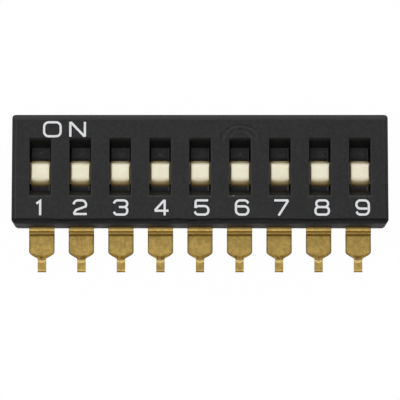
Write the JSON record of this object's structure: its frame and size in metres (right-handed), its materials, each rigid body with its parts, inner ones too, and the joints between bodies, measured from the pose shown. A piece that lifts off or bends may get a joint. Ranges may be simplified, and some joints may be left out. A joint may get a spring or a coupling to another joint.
{
  "type": "dip switch",
  "caption": "Black surface-mount DIP switch housing with a row of recessed ivory slide actuators, gold gull-wing leads in front and folded leads behind.",
  "frame": {"origin": "middle of the underside, on the plane that the leads solder to", "axes": "+X along the row from position 1 to position 9, +Y towards the ON side, +Z out of the face"},
  "size_m": [0.024, 0.0101, 0.0029],
  "materials": {
    "black_plastic": "fine moulded matt",
    "ivory_plastic": "smooth moulded",
    "contact_metal": "bright rolled sheet",
    "gold_plating": "satin gold plating over copper alloy sheet"
  },
  "bodies": {
    "housing": {"cover": "black_plastic", "base": "black_plastic", "front_terminal_1": "gold_plating", "front_terminal_2": "gold_plating", "front_terminal_3": "gold_plating", "front_terminal_4": "gold_plating", "front_terminal_5": "gold_plating", "front_terminal_6": "gold_plating", "front_terminal_7": "gold_plating", "front_terminal_8": "gold_plating", "front_terminal_9": "gold_plating", "rear_terminal_1": "gold_plating", "rear_terminal_2": "gold_plating", "rear_terminal_3": "gold_plating", "rear_terminal_4": "gold_plating", "rear_terminal_5": "gold_plating", "rear_terminal_6": "gold_plating", "rear_terminal_7": "gold_plating", "rear_terminal_8": "gold_plating", "rear_terminal_9": "gold_plating"},
    "actuator_1": {"slider_1": "ivory_plastic", "contact_1": "contact_metal"},
    "actuator_2": {"slider_2": "ivory_plastic", "contact_2": "contact_metal"},
    "actuator_3": {"slider_3": "ivory_plastic", "contact_3": "contact_metal"},
    "actuator_4": {"slider_4": "ivory_plastic", "contact_4": "contact_metal"},
    "actuator_5": {"slider_5": "ivory_plastic", "contact_5": "contact_metal"},
    "actuator_6": {"slider_6": "ivory_plastic", "contact_6": "contact_metal"},
    "actuator_7": {"slider_7": "ivory_plastic", "contact_7": "contact_metal"},
    "actuator_8": {"slider_8": "ivory_plastic", "contact_8": "contact_metal"},
    "actuator_9": {"slider_9": "ivory_plastic", "contact_9": "contact_metal"}
  },
  "joints": [
    {"name": "switch_1", "type": "slide", "parent": "housing", "child": "actuator_1", "axis": [0, 1, 0], "range_m": [0, 0.0007]},
    {"name": "switch_2", "type": "slide", "parent": "housing", "child": "actuator_2", "axis": [0, 1, 0], "range_m": [0, 0.0007]},
    {"name": "switch_3", "type": "slide", "parent": "housing", "child": "actuator_3", "axis": [0, 1, 0], "range_m": [0, 0.0007]},
    {"name": "switch_4", "type": "slide", "parent": "housing", "child": "actuator_4", "axis": [0, 1, 0], "range_m": [0, 0.0007]},
    {"name": "switch_5", "type": "slide", "parent": "housing", "child": "actuator_5", "axis": [0, 1, 0], "range_m": [0, 0.0007]},
    {"name": "switch_6", "type": "slide", "parent": "housing", "child": "actuator_6", "axis": [0, 1, 0], "range_m": [0, 0.0007]},
    {"name": "switch_7", "type": "slide", "parent": "housing", "child": "actuator_7", "axis": [0, 1, 0], "range_m": [0, 0.0007]},
    {"name": "switch_8", "type": "slide", "parent": "housing", "child": "actuator_8", "axis": [0, 1, 0], "range_m": [0, 0.0007]},
    {"name": "switch_9", "type": "slide", "parent": "housing", "child": "actuator_9", "axis": [0, 1, 0], "range_m": [0, 0.0007]}
  ]
}
